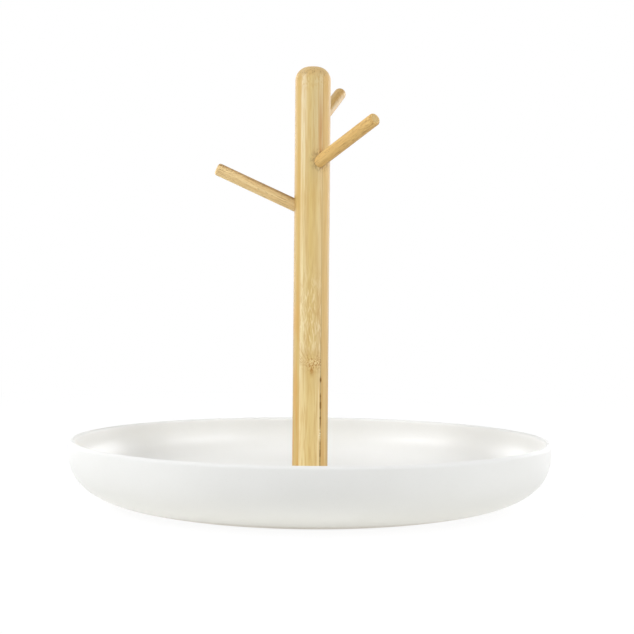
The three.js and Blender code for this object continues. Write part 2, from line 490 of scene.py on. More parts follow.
dish_body = mix_tones(bench, cloud, tone(234, 233, 227), tone(238, 237, 232))
dish_layers = [(bench.product(fleck, 0.22), (214, 211, 202)), (painted_base_shade, (200, 188, 164))]
use_colour(bench, shader, lay_over(bench, dish_body, *dish_layers))
dish_roughness = bench.total(bench.weighted((handling, 0.10), (sanded, 0.24)), 0.27)
use_surface(bench, shader, dish_roughness, peel, 0.008 * MM, 0.3)
print("dish finish:", len(bench.tree.nodes), "nodes")

# %% [markdown]
# ## The dish
# In section the dish is one thin wall. It leaves its flat floor softly, sweeps out and ends
# upright at a fully round rim. A superellipse does exactly that: it is a quarter of a circle
# whose two powers say how long the floor stays flat and how upright the wall ends.
#
# The wall could be modelled by hand with a subdivision surface, but a rule keeps both skins true
# to the real section. So the tree below computes the outer wall, the rim and the inner wall from
# named sizes. The outline that it is given holds only the plain underside.

# %% The rule of the wall
def line_of_points(bench, count):
    """A row of points, and each one's share of the way along it."""
    row = bench.add("GeometryNodeMeshLine", {"Count": count, "Offset": (0.0, 0.0, 0.0)})
    index = bench.add("GeometryNodeInputIndex")
    share = bench.ratio(index, bench.less(count, 1.0))
    return row, share


def wall_points(bench, given, floor_radius, wall_radius, low, inwards):
    """Points up a superellipse, or down it where the wall is the inner one."""
    row, share = line_of_points(bench, given["Wall steps"])
    left = share if inwards else bench.less(1.0, share)
    gathered = bench.less(1.0, bench.math("POWER", left, 1.5))
    turn = bench.product(gathered, 0.5 * math.pi)
    reach_power = bench.ratio(2.0, given["Reach power"])
    rise_power = bench.ratio(2.0, given["Rise power"])
    reach = bench.math("POWER", bench.math("SINE", turn), reach_power)
    upright = bench.largest(bench.math("COSINE", turn), 0.0)
    rise = bench.less(1.0, bench.math("POWER", upright, rise_power))
    whole_reach = bench.less(wall_radius, floor_radius)
    whole_rise = bench.less(given["Rim height"], low)
    radius = bench.total(floor_radius, bench.product(whole_reach, reach))
    height = bench.total(low, bench.product(whole_rise, rise))
    place = bench.vector(radius, 0.0, height)
    return bench.add("GeometryNodeSetPosition", {"Geometry": row, "Position": place})


def rim_points(bench, given):
    """Points over the round rim, from the outer wall to the inner one."""
    row, share = line_of_points(bench, given["Rim steps"])
    angle = bench.product(share, math.pi)
    thickness = bench.less(given["Brim radius"], given["Mouth radius"])
    half = bench.ratio(thickness, 2.0)
    middle = bench.less(given["Brim radius"], half)
    radius = bench.total(middle, bench.product(half, bench.math("COSINE", angle)))
    height = bench.total(given["Rim height"], bench.product(half, bench.math("SINE", angle)))
    place = bench.vector(radius, 0.0, height)
    return bench.add("GeometryNodeSetPosition", {"Geometry": row, "Position": place})


# %% [markdown]
# The pieces of the outline have to be joined in order, and Join Geometry puts what was linked
# last first. So the links are drawn from the end of the outline to its start. Where two
# stretches share a point, the merge at the end of the lathe closes it.

# %% Grow the dish
RIM_THICKNESS = 3.0 * MM
RING_RADIUS = 79.5 * MM
RING_WIDTH = 17.0 * MM
RECESS_DEPTH = 3.0 * MM
RECESS_SHOULDER = 1.5 * MM
CORNER_THICKNESS = 3.4 * MM
SCREW_HOLE_RADIUS = 2.8 * MM
HOLE_EDGE = 0.25 * MM

recess_height = ring_height + RECESS_DEPTH
dish_sizes = {
    "Sides": 192,
    "Wall steps": 40,
    "Rim steps": 13,
    "Ring radius": RING_RADIUS,
    "Brim radius": dish_radius,
    "Mouth radius": dish_radius - RIM_THICKNESS,
    "Floor radius": RING_RADIUS - CORNER_THICKNESS,
    "Ring height": ring_height,
    "Floor height": post_foot,
    "Rim height": rim_top - RIM_THICKNESS / 2,
    "Reach power": 1.61,
    "Rise power": 2.98,
    "Hole radius": SCREW_HOLE_RADIUS,
    "Hole edge": HOLE_EDGE,
    "Recess height": recess_height,
}
bench, given = start_tree("moulded dish", dish_sizes)
outer_wall = wall_points(
    bench, given, given["Ring radius"], given["Brim radius"], given["Ring height"], False
)
inner_wall = wall_points(
    bench, given, given["Floor radius"], given["Mouth radius"], given["Floor height"], True
)
edge_radius = bench.total(given["Hole radius"], given["Hole edge"])
edge_height = bench.less(given["Floor height"], given["Hole edge"])
hole_top = bench.vector(edge_radius, 0.0, given["Floor height"])
hole_wall = bench.vector(given["Hole radius"], 0.0, edge_height)
hole_low = bench.vector(given["Hole radius"], 0.0, given["Recess height"])
two_points = {0: 2, 2: hole_top, 3: hole_wall}
hole_points = bench.add("GeometryNodeMeshLine", two_points, mode="END_POINTS")
last_point = bench.add("GeometryNodeMeshLine", {0: 1, 2: hole_low})

outline = bench.add("GeometryNodeJoinGeometry")
rim = rim_points(bench, given)
stretches = [given["Outline"], outer_wall, rim, inner_wall, hole_points, last_point]
for stretch_of_outline in reversed(stretches):
    bench.tree.links.new(stretch_of_outline, outline.node.inputs[0])
dish_tree = close_tree(bench, turn_outline(bench, outline, given["Sides"]), given["Finish"])

recess_radius = RING_RADIUS - RING_WIDTH
ring_edge = 0.3 * MM
underside = [(SCREW_HOLE_RADIUS, recess_height)]
underside += [(radius * MM, recess_height) for radius in (8, 20, 40)]
underside += arc(
    recess_radius - RECESS_SHOULDER, recess_height - RECESS_SHOULDER, RECESS_SHOULDER, 90, 0, 8
)
underside += arc(recess_radius + ring_edge, ring_height + ring_edge, ring_edge, 180, 270, 3)
dish = grow("white_dish", dish_tree, underside, {**dish_sizes, "Finish": dish_finish})
print("dish skin:", len(dish.data.vertices), "vertices")

# %% [markdown]
# Four soft pads sit in shallow sockets in the base ring. A socket is a hole in a finished
# surface, so it is cut with a Boolean. The cutter is turned on the same lathe.

# %% Cut the pad sockets
PAD_COUNT = 4
PAD_FIRST_ANGLE = math.radians(45)
PAD_CIRCLE_RADIUS = RING_RADIUS - RING_WIDTH / 2
SOCKET_GAP = 0.2 * MM
CUT_OVERRUN = 2 * MM
pad_radius = (pad_high.x - pad_low.x) / 2
pad_thickness = pad_high.z - pad_low.z


def bar(name, radius, low, high, sides=48):
    """A plain round bar on the upright axis, to cut with."""
    points = [(0.0, low), (radius, low), (radius, high), (0.0, high)]
    return grow(name, lathe_tree, points, {"Sides": sides})


sockets = []
for number in range(PAD_COUNT):
    angle = PAD_FIRST_ANGLE + FULL_TURN * number / PAD_COUNT
    socket = bar("socket_cutter", pad_radius + SOCKET_GAP, ring_height - CUT_OVERRUN, pad_thickness)
    middle = Vector((math.cos(angle), math.sin(angle), 0.0)) * PAD_CIRCLE_RADIUS
    socket.data.transform(Matrix.Translation(middle))
    sockets.append(socket)
cut_out(dish, sockets)
settle(dish, "dish_white", "dish")

# %% [markdown]
# ## Bamboo
# Bamboo isn't wood: it is a grass, and its strength is in thin dark bundles of fibre that run
# the whole length of the stem, packed in a pale pith. Cut along, they show as fine streaks, and
# cut across, as dots. A picture wrapped round the post would get one of the two wrong. So the
# grain below is a solid pattern: cells far longer than they are wide, which give streaks on the
# sides and dots on an end without being told which is which.

# %% Bamboo grain
def spots(bench, place, across, along):
    """The distance to the nearest of many scattered points, in stretched space."""
    sockets = {"Vector": stretch(bench, place, across, along), "Scale": 1.0}
    return bench.add("ShaderNodeTexVoronoi", sockets)


def bamboo_grain(bench, place):
    """Fine fibres, broad streaks and dark dashes of bundles, each from 0 to 1."""
    wander = grain(bench, place, 60.0, 14.0, 1.0, 0.5)
    drift = bench.product(bench.less(wander, 0.5), 0.9 * MM)
    moves = {0: place, 1: bench.vector(drift, drift, 0.0)}
    moved = bench.add("ShaderNodeVectorMath", moves, operation="ADD")
    fibres = grain(bench, moved, 2300.0, 55.0, 3.0, 0.62)
    streaks = grain(bench, moved, 620.0, 20.0, 3.0, 0.5)
    cells = spots(bench, moved, 1500.0, 80.0)
    bundles = bench.span(cells, 0.10, 0.36, 1.0, 0.0)
    return bench.span(fibres, 0.3, 0.72), bench.span(streaks, 0.32, 0.7), bundles


def tone_ramp(bench, share, stops):
    """Tones along a line: each stop is a share of the way and its tone."""
    ramp = bench.add("ShaderNodeValToRGB", {0: share}).node
    elements = ramp.color_ramp.elements
    while len(elements) < len(stops):
        elements.new(0.5)
    for element, (position, colour) in zip(elements, stops):
        element.position = position
        element.color = colour
    return ramp.outputs[0]


# %% [markdown]
# The pegs sit in slanted holes, and a drill tears a little bamboo where it enters. To darken the
# post there, with torn fibres and painted shade round each peg, its finish has to know where the
# holes open. Each place follows from the same few numbers that set the pegs later: how steeply they
# rise, how far beside the axis they pass, and how they are spaced down the post.

# %% Where the pegs enter the post
PEG_RISE = math.radians(24.4)
PEG_SIDE_STEP = 1.6 * MM
TOP_PEG_DROP = 26.8 * MM
PEG_SPACING = 20.0 * MM

headings = {"back_branch": 74.4, "right_branch": -49.2, "left_branch": 182.4}
entry_reach = math.sqrt(post_radius ** 2 - PEG_SIDE_STEP ** 2)
HOLE_ENTRIES = []
for order, degrees in enumerate(headings.values()):
    straight_out = Vector((entry_reach, -PEG_SIDE_STEP, entry_reach * math.tan(PEG_RISE)))
    entry = Matrix.Rotation(math.radians(degrees), 3, "Z") @ straight_out
    entry.z += post_top - TOP_PEG_DROP - PEG_SPACING * order
    HOLE_ENTRIES.append(tuple(entry))
    print(f"hole {order + 1} opens at", [round(value / MM, 1) for value in entry], "mm")

# %% [markdown]
# The post is three strips glued side by side and turned round afterwards. The glue lines are two
# upright planes, so they are straight lines on the front and on the back. The middle strip is paler,
# and the pale band just right of the left glue line is paler bamboo with a painted highlight on it.
# The tones across the post also darken towards its left and right sides, which is painted shade.
# Near the top the middle strip is paler still, with fine golden streaks and a warmer one on its
# right, and a painted highlight on its left grows whiter towards the top. Below the stem joint the
# middle strip is paler towards the bottom, with broken golden streaks. The left strip has amber
# patches on its lower half.
#
# Each mark on the post is a pattern from 0 to 1, and the tones are laid over one another in
# order, each by the share that its pattern gives.

# %% Post finish
LEFT_GLUE = -5.15 * MM
RIGHT_GLUE = 4.6 * MM
KNUCKLE_HEIGHT = 63.5 * MM
# Tones across the post from left to right. The darker ends are painted shade at the sides, and the
# pale stop after the left glue line carries a painted highlight.
STRIP_TONES_WITH_PAINTED_LIGHT = [
    (0.00, 166, 138, 80), (0.07, 211, 183, 118), (0.175, 217, 187, 118), (0.183, 243, 226, 175),
    (0.30, 236, 218, 165), (0.45, 224, 197, 128), (0.60, 227, 202, 140), (0.77, 229, 207, 156),
    (0.784, 219, 190, 132), (0.93, 216, 188, 131), (1.00, 150, 130, 84),
]

post_finish, bench, shader = start_finish("laminated_bamboo", IOR=1.45)
place = bench.add("ShaderNodeTexCoord", output="Object")
x, y, z = bench.parts(place)
left_strip = bench.math("LESS_THAN", x, LEFT_GLUE)
right_strip = bench.math("GREATER_THAN", x, RIGHT_GLUE)
middle_strip = bench.less(1.0, left_strip, right_strip)
strip_shift = bench.weighted((left_strip, 0.37), (right_strip, 0.83))
own_place = bench.vector(x, y, bench.total(z, strip_shift))
fibres, streaks, bundles = bamboo_grain(bench, own_place)

across = bench.ratio(bench.total(x, post_radius), 2 * post_radius)
strip_tone_with_painted_light = tone_ramp(bench, across, [(share, tone(*rgb)) for share, *rgb in STRIP_TONES_WITH_PAINTED_LIGHT])
gold = bench.weighted((streaks, 0.40), (fibres, 0.24))
dashes = bench.product(bundles, 0.16)
lower_stem = bench.product(bench.span(z, 46.0 * MM, KNUCKLE_HEIGHT, 0.42, 0.0), middle_strip)
# Painted highlight: a whitish band left of the middle, stronger towards the top.
painted_upper_highlight = bench.product(
    bench.hill(x, -4.1 * MM, 2.2 * MM), bench.span(z, 140.0 * MM, 185.0 * MM), 0.36
)
upper_pale = bench.product(
    bench.span(z, 135.0 * MM, 175.0 * MM),
    bench.span(x, -2.4 * MM, 0.8 * MM, 0.0, 0.35),
    middle_strip,
)
sun_side = bench.product(
    bench.hill(x, 3.8 * MM, 2.2 * MM), bench.hill(z, 170.0 * MM, 30.0 * MM), streaks, 0.80
)
upper_streaks = bench.product(
    bench.span(grain(bench, own_place, 1350.0, 75.0), 0.50, 0.64),
    bench.span(z, 110.0 * MM, 150.0 * MM),
    0.36,
)
lower_streaks = bench.product(
    bench.span(grain(bench, own_place, 1250.0, 62.0), 0.46, 0.62),
    bench.span(z, 50.0 * MM, 60.0 * MM, 0.42, 0.0),
)
amber_patches = bench.product(
    bench.span(grain(bench, own_place, 480.0, 62.0, 2.0, 0.5), 0.46, 0.62),
    bench.span(z, 70.0 * MM, 120.0 * MM, 0.45, 0.0),
    left_strip,
)
post_tone = lay_over(
    bench,
    strip_tone_with_painted_light,
    (gold, (206, 162, 88)),
    (dashes, (172, 122, 62)),
    (lower_stem, (244, 220, 156)),
    (painted_upper_highlight, (244, 234, 206)),
    (upper_pale, (222, 216, 176)),
    (sun_side, (200, 144, 86)),
    (upper_streaks, (208, 164, 88)),
    (lower_streaks, (208, 160, 84)),
    (amber_patches, (214, 156, 76)),
)
print("post finish so far:", len(bench.tree.nodes), "nodes")

# %% [markdown]
# A joint of the stem crosses the middle strip low down: a narrow band with dark and pale specks,
# a sappy streak under it, and fibres that fan out above it. The fan is drawn with a trick.
# Dividing the sideways place by the height above the joint gives a number that stays the same
# along any ray from one point, so noise on that number makes rays that spread upwards.
#
# Higher up the fibres still cross each other a little before they run straight. Two noises that
# lean to opposite sides give that: the larger of the two makes dark flecks, the smaller pale ones.

# %% Stem joint
bow = bench.product(x, x, 40.0)
above = bench.less(z, KNUCKLE_HEIGHT, bow)
ray = bench.ratio(bench.less(x, 1.5 * MM), bench.total(above, 3.5 * MM))
ray_place = bench.vector(bench.product(ray, 14.0), bench.product(z, 90.0), 0.0)
fan = bench.product(
    bench.span(noise(bench, ray_place, 1.0, 1.0), 0.46, 0.62),
    bench.span(above, 0.0, 0.8 * MM),
    bench.span(above, 2.0 * MM, 9.5 * MM, 1.0, 0.0),
    middle_strip,
)
speck_cells = spots(bench, place, 1500.0, 1500.0)
specks = bench.product(
    bench.span(speck_cells, 0.18, 0.34, 1.0, 0.0),
    bench.hill(above, 0.5 * MM, 3.2 * MM),
    bench.span(x, -1.4 * MM, 0.4 * MM),
    middle_strip,
)
curls = bench.span(noise(bench, place, 1150.0, 2.0, 0.6), 0.44, 0.60)
right_side = bench.product(bench.span(x, -3.6 * MM, 0.2 * MM, 0.35, 1.0), middle_strip)
mottle = bench.product(curls, bench.hill(above, 0.6 * MM, 6.0 * MM), right_side)
band = bench.product(bench.hill(above, -0.2 * MM, 1.0 * MM), right_side)
sap_streak = bench.product(
    bench.hill(x, 0.4 * MM, 1.5 * MM), bench.hill(above, -2.4 * MM, 4.2 * MM), middle_strip
)
pale_specks = bench.product(
    bench.span(speck_cells, 0.46, 0.62), bench.hill(above, 1.0 * MM, 4.5 * MM), right_side, 0.45
)
joint = bench.weighted((fan, 0.50), (specks, 0.95), (mottle, 0.56), (band, 0.36), (sap_streak, 0.62))

weave_zone = bench.product(
    bench.span(z, 66.0 * MM, 74.0 * MM), bench.span(z, 88.0 * MM, 118.0 * MM, 1.0, 0.0), middle_strip
)
crossed = []
for slant in (-0.16, 0.16):
    slanted_place = bench.vector(bench.total(x, bench.product(z, slant)), y, z)
    crossed.append(grain(bench, slanted_place, 1450.0, 165.0))
dark_flecks = bench.span(bench.largest(*crossed), 0.53, 0.66)
pale_flecks = bench.span(bench.math("MINIMUM", *crossed), 0.34, 0.46, 1.0, 0.0)
post_tone = lay_over(
    bench,
    post_tone,
    (joint, (182, 126, 50)),
    (pale_specks, (250, 234, 180)),
    (bench.product(dark_flecks, weave_zone, 0.36), (196, 146, 78)),
    (bench.product(pale_flecks, weave_zone, 0.46), (250, 234, 190)),
)
print("post finish with its joint:", len(bench.tree.nodes), "nodes")

# %% [markdown]
# The right glue line has opened on its lower third. It isn't evenly open, so a small table says
# how open it is at each height in millimetres, and a colour ramp turns that into a number.
#
# The open glue line is dark and matt, partly from glue and bare fibre and partly as painted shade
# inside the crack, with a paler lip on its left and a chipped spot low down.
# Its reach and its depth both follow the table of openness and a ragged noise along the post.
# No lacquer got inside it, so its gloss goes out as well, or the gap would shine grey.

# %% Open glue line
GAP_SCALE = 100.0 * MM
GAP_OPENNESS = [
    (0, 0.7), (28, 0.7), (30, 0.3), (34, 0.4), (37, 0.85), (50.2, 1.0), (51.2, 0.3),
    (55.4, 0.25), (56.4, 0.9), (57.8, 0.8), (58.8, 0.3), (82, 0.3), (94, 0),
]

gap_stops = [(low / GAP_SCALE * MM, (share, share, share, 1.0)) for low, share in GAP_OPENNESS]
openness = tone_ramp(bench, bench.ratio(z, GAP_SCALE), gap_stops)
ragged = bench.span(grain(bench, place, 1.0, 150.0, 3.0, 0.65), 0.36, 0.66)
ragged_reach = bench.span(ragged, 0.0, 1.0, 0.12 * MM, 0.36 * MM)
gap_reach = bench.total(0.14 * MM, bench.product(openness, ragged_reach))
from_glue = bench.math("ABSOLUTE", bench.less(x, RIGHT_GLUE))
gap = bench.span(bench.ratio(from_glue, gap_reach), 0.5, 1.2, 1.0, 0.0)
ragged_depth = bench.span(ragged, 0.0, 1.0, 0.46, 0.78)
gap_strength = bench.total(0.22, bench.product(openness, ragged_depth))
lip = bench.product(
    bench.hill(x, RIGHT_GLUE - 0.95 * MM, 0.6 * MM), bench.span(z, 50.0 * MM, 58.0 * MM, 0.6, 0.0)
)
chips = bench.product(
    bench.hill(x, RIGHT_GLUE - 0.35 * MM, 0.8 * MM),
    bench.hill(z, 32.0 * MM, 3.6 * MM),
    bench.span(noise(bench, place, 1500.0, 1.0), 0.46, 0.56),
    0.9,
)
post_tone = lay_over(
    bench,
    post_tone,
    (lip, (248, 226, 176)),
    # The dark gap colour is partly glue and partly painted shade inside the crack, darker where it
    # opens wider.
    (bench.product(gap, gap_strength), (112, 70, 14)),
    (chips, (254, 242, 206)),
)
print("post finish with its gap:", len(bench.tree.nodes), "nodes")

# %% [markdown]
# The last touches on the post are the torn fibres round the three holes, darkened further as painted
# shade where the pegs meet the post, and the end grain on its domed top. Up there the saw has cut
# across the bundles, so wherever the surface faces upwards the tone changes to that of cut ends,
# kept dark as painted shade on the upward-facing top. Just below, the rounding cuts the fibres at a
# flat angle, which shows as golden flecks.

# %% Hole edges, end grain and lacquer
drilled = []
for entry in HOLE_ENTRIES:
    offset = bench.add("ShaderNodeVectorMath", {0: place, 1: entry}, operation="SUBTRACT")
    away = bench.add("ShaderNodeVectorMath", {0: offset}, output="Value", operation="LENGTH")
    drilled.append(bench.span(away, 3.0 * MM, 6.5 * MM, 1.0, 0.0))
torn = bench.span(grain(bench, place, 1300.0, 700.0), 0.40, 0.60)
# Torn fibres and painted shade: a darker ring round each peg hole.
torn_fibres_and_shade = bench.product(bench.largest(*drilled), torn, 0.55)
crown = bench.product(
    bench.span(z, post_top - 14.0 * MM, post_top - 5.0 * MM),
    bench.span(grain(bench, place, 900.0, 480.0), 0.44, 0.58),
    0.62,
)
facing = bench.add("ShaderNodeNewGeometry", output="Normal")
# Painted shade as well as end grain: the more the surface faces up, the darker its tone.
end_grain_and_top_shade = bench.product(bench.span(bench.parts(facing)[2], 0.0, 0.6), 0.8)
end_tone = mix_tones(bench, bundles, tone(202, 170, 112), tone(120, 84, 42))
top_layers = [(torn_fibres_and_shade, (142, 98, 48)), (crown, (206, 166, 96)), (end_grain_and_top_shade, end_tone)]
use_colour(bench, shader, lay_over(bench, post_tone, *top_layers))

post_relief = bench.less(
    bench.weighted((fibres, 0.4), (bundles, 0.5)), bench.product(gap, openness, 1.6)
)
post_roughness = bench.total(0.40, bench.product(fibres, 0.16))
use_surface(bench, shader, post_roughness, post_relief, 0.025 * MM, 0.4)
lacquer_gloss = bench.span(bench.product(gap, openness), 0.2, 0.8, 0.3, 0.0)
bench.tree.links.new(lacquer_gloss, shader.inputs["Specular IOR Level"])
print("post finish:", len(bench.tree.nodes), "nodes")

# %% [markdown]
# ## The post
# The post is a plain turned bar with a soft top. Its outline has a ring about every millimetre
# and a half, not for its shape, which a few rings would give, but because the slanted peg holes
# are cut out of it next. A Boolean leaves long thin faces on a coarse mesh, and those shade badly.

# %% Turn the post
TOP_ROUNDING = 6.4 * MM
FOOT_ROUNDING = 0.6 * MM
RING_STEP = 1.5 * MM


def straight(radius, low, high, step):
    """Evenly spaced points up a straight side, without its two ends."""
    count = max(1, round((high - low) / step))
    return [(radius, low + (high - low) * number / count) for number in range(1, count)]


post_outline = [(0.0, post_foot), (4.5 * MM, post_foot)]
post_outline += low_corner(post_radius, post_foot, FOOT_ROUNDING, 4)
post_outline += straight(post_radius, post_foot + FOOT_ROUNDING, post_top - TOP_ROUNDING, RING_STEP)
post_outline += high_corner(post_radius, post_top, TOP_ROUNDING, 20)
post_outline += [(0.0, post_top)]
post = grow("bamboo_post", lathe_tree, post_outline, {"Sides": 96, "Finish": post_finish})
print("post outline:", len(post_outline), "points")

# %% [markdown]
# ## The pegs
# Three equal pegs climb round the post, 20 mm apart in height. Each one slants upwards and
# passes a little beside the post's axis. One tree makes them all: it turns the outline, then
# leans it, steps it sideways, turns it to its heading and lifts it to its height.
#
# Before the peg is moved, the tree stores each vertex's place on the straight peg as an
# attribute. The grain reads that attribute, so it runs along every peg, however the peg points.
# A second attribute holds the nature of the peg: how pale and how warm it is, and how far each
# vertex lies towards one chosen side, which the finish paints darker: partly the hard outer wall of
# the stem, partly painted shade along that edge of the peg.

# %% Nodes for a peg
peg_sizes = {
    "Sides": 48,
    "Lean": math.pi / 2 - PEG_RISE,
    "Side step": PEG_SIDE_STEP,
    "Heading": 0.0,
    "Height": 0.0,
    "Grain shift": 0.0,
    "Paleness": 0.5,
    "Warmth": 0.0,
    "Dense side and shade": 0.0,
}
bench, given = start_tree("slanted peg", peg_sizes)
upright_peg = turn_outline(bench, given["Outline"], given["Sides"])
here = bench.add("GeometryNodeInputPosition")
shift = bench.vector(given["Grain shift"], given["Grain shift"], 0.0)
grain_place = bench.add("ShaderNodeVectorMath", {0: here, 1: shift}, operation="ADD")
marked = bench.add(
    "GeometryNodeStoreNamedAttribute",
    {"Geometry": upright_peg, "Name": "peg_place", "Value": grain_place},
    data_type="FLOAT_VECTOR",
    domain="POINT",
)
here_parts = bench.parts(here)
dense_and_shaded_depth = bench.total(
    bench.product(here_parts[0], bench.math("COSINE", given["Dense side and shade"])),
    bench.product(here_parts[1], bench.math("SINE", given["Dense side and shade"])),
)
peg_nature = bench.vector(given["Paleness"], dense_and_shaded_depth, given["Warmth"])
marked = bench.add(
    "GeometryNodeStoreNamedAttribute",
    {"Geometry": marked, "Name": "peg_nature", "Value": peg_nature},
    data_type="FLOAT_VECTOR",
    domain="POINT",
)
lean = bench.add("FunctionNodeEulerToRotation", {0: bench.vector(0.0, given["Lean"], 0.0)})
step_back = bench.vector(0.0, bench.product(given["Side step"], -1.0), 0.0)
leaning = bench.add(
    "GeometryNodeTransform", {"Geometry": marked, "Translation": step_back, "Rotation": lean}
)
heading = bench.add("FunctionNodeEulerToRotation", {0: bench.vector(0.0, 0.0, given["Heading"])})
lift = bench.vector(0.0, 0.0, given["Height"])
placed = bench.add(
    "GeometryNodeTransform", {"Geometry": leaning, "Translation": lift, "Rotation": heading}
)
peg_tree = close_tree(bench, placed, given["Finish"])
print("inputs of a peg:", ", ".join(given))

# %% [markdown]
# The pegs are a warmer, browner bamboo than the post, cut from near the outside of the stem, where
# the bundles lie closer. One side of each peg is darker, partly as that dense side and partly as
# painted shade along that edge, and short open pores freckle the rest. The flat ends show the
# bundles as dots, and handling has darkened the rounded edge of each end.
# The three pegs share one finish, and their stored nature makes them differ.

# %% Peg finish
PEG_RADIUS = 2.9 * MM
PEG_GRIP = 10.0 * MM
PEG_LENGTH = 49.4 * MM
peg_entry = entry_reach / math.cos(PEG_RISE)
peg_butt = peg_entry - PEG_GRIP
peg_tip = peg_butt + PEG_LENGTH

peg_finish, bench, shader = start_finish("honey_bamboo", IOR=1.45, Specular_IOR_Level=0.22)
place = bench.add("ShaderNodeAttribute", output="Vector", attribute_name="peg_place")
nature = bench.add("ShaderNodeAttribute", output="Vector", attribute_name="peg_nature")
along = bench.parts(place)[2]
pale, outer_and_shaded_depth, warm = bench.parts(nature)
fibres, streaks, bundles = bamboo_grain(bench, place)
# Partly the denser outer wall, partly painted shade: one side of each peg is darker.
dense_side_and_shade = bench.span(outer_and_shaded_depth, 0.9 * MM, 2.8 * MM)
pores = bench.span(grain(bench, place, 1700.0, 420.0), 0.54, 0.66)
end_face = bench.span(along, peg_tip - 0.3 * MM, peg_tip - 0.05 * MM)
worn = bench.product(bench.hill(along, peg_tip - 0.9 * MM, 1.0 * MM), 0.10)

peg_body = mix_tones(bench, pale, tone(178, 148, 82), tone(250, 224, 166))
end_tone = mix_tones(bench, bundles, tone(214, 182, 120), tone(150, 104, 52))
peg_layers = [
    (bench.product(warm, 0.34), (254, 204, 112)),
    (bench.weighted((streaks, 0.34), (fibres, 0.20)), (202, 150, 78)),
    (bench.weighted((bundles, 0.42), (dense_side_and_shade, 0.62), (pores, 0.26)), (138, 92, 42)),
    (end_face, end_tone),
    (worn, (160, 108, 52)),
]
use_colour(bench, shader, lay_over(bench, peg_body, *peg_layers))
peg_relief = bench.weighted((fibres, 0.5), (bundles, 0.5))
peg_roughness = bench.total(0.38, bench.product(fibres, 0.16))
use_surface(bench, shader, peg_roughness, peg_relief, 0.012 * MM, 0.3)
print("peg finish:", len(bench.tree.nodes), "nodes")

# %% [markdown]
# Each peg's hole is cut by a bar from the same tree with the same placing, only a little thicker,
# so hole and peg can't drift apart. The gap between them is a tenth of a millimetre, and it shows
# as the fine dark line round a glued peg.

# %% Turn the pegs and cut their holes
PEG_TIP_ROUNDING = 1.3 * MM
PEG_BUTT_CHAMFER = 0.5 * MM
PEG_GAP = 0.12 * MM
HOLE_BOTTOM_GAP = 0.3 * MM

peg_outline = [(0.0, peg_butt), (PEG_RADIUS - PEG_BUTT_CHAMFER, peg_butt)]
peg_outline += [(PEG_RADIUS, peg_butt + PEG_BUTT_CHAMFER)]
peg_outline += straight(PEG_RADIUS, peg_butt + PEG_BUTT_CHAMFER, peg_tip - PEG_TIP_ROUNDING, 2 * MM)
peg_outline += high_corner(PEG_RADIUS, peg_tip, PEG_TIP_ROUNDING, 8)
peg_outline += [(0.0, peg_tip)]
hole_radius = PEG_RADIUS + PEG_GAP
hole_low = peg_butt - HOLE_BOTTOM_GAP
hole_high = peg_entry + post_radius
hole_outline = [(0.0, hole_low), (hole_radius, hole_low)]
hole_outline += [(hole_radius, hole_high), (0.0, hole_high)]

paleness = {"back_branch": 0.0, "right_branch": 0.48, "left_branch": 1.0}
warmth = {"back_branch": 0.0, "right_branch": 1.0, "left_branch": 0.0}
# The side of each peg that is painted darker, partly denser wall and partly painted shade.
shaded_dense_sides = {"back_branch": 90.0, "right_branch": 60.0, "left_branch": 180.0}
pegs = {}
holes = []
for order, (node, degrees) in enumerate(headings.items()):
    values = {
        **peg_sizes,
        "Heading": math.radians(degrees),
        "Height": post_top - TOP_PEG_DROP - PEG_SPACING * order,
        "Grain shift": 0.05 * order,
        "Paleness": paleness[node],
        "Warmth": warmth[node],
        "Dense side and shade": math.radians(shaded_dense_sides[node]),
        "Finish": peg_finish,
    }
    pegs[node] = grow(node.replace("branch", "peg"), peg_tree, peg_outline, values)
    holes.append(grow("hole_cutter", peg_tree, hole_outline, values))
    holes[-1].data.materials.clear()

SCREW_BORE_DEPTH = 22.3 * MM
bore = bar("bore_cutter", SCREW_HOLE_RADIUS, post_foot - CUT_OVERRUN, post_foot + SCREW_BORE_DEPTH)
cut_out(post, [*holes, bore])
settle(post, "post_bamboo", "post")
for node, peg in pegs.items():
    settle(peg, "branch_bamboo", node)

# %% [markdown]
# ## The screw
# A screw from below is what holds a post to such a thin dish, though nobody sees it in use. Its
# thread is a ridge along a helix. It could be swept along a curve, but then the sweep has to be
# joined to the shank. Here the plain turned shank is displaced instead: each vertex moves out
# by a ridge that depends on its height and its angle, and fades at both ends of the thread.

# %% Steel finish
steel_finish, bench, shader = start_finish("zinc_plated_steel", Metallic=1.0)
place = bench.add("ShaderNodeTexCoord", output="Object")
plating = noise(bench, place, 420.0, 3.0, 0.6)
scratches = grain(bench, place, 5200.0, 700.0, 2.0, 0.5)
use_colour(bench, shader, mix_tones(bench, plating, tone(196, 198, 200), tone(214, 214, 210)))
steel_roughness = bench.total(0.20, bench.product(plating, 0.16), bench.product(scratches, 0.12))
use_surface(bench, shader, steel_roughness, scratches, 0.004 * MM, 0.5)
print("steel finish:", len(bench.tree.nodes), "nodes")

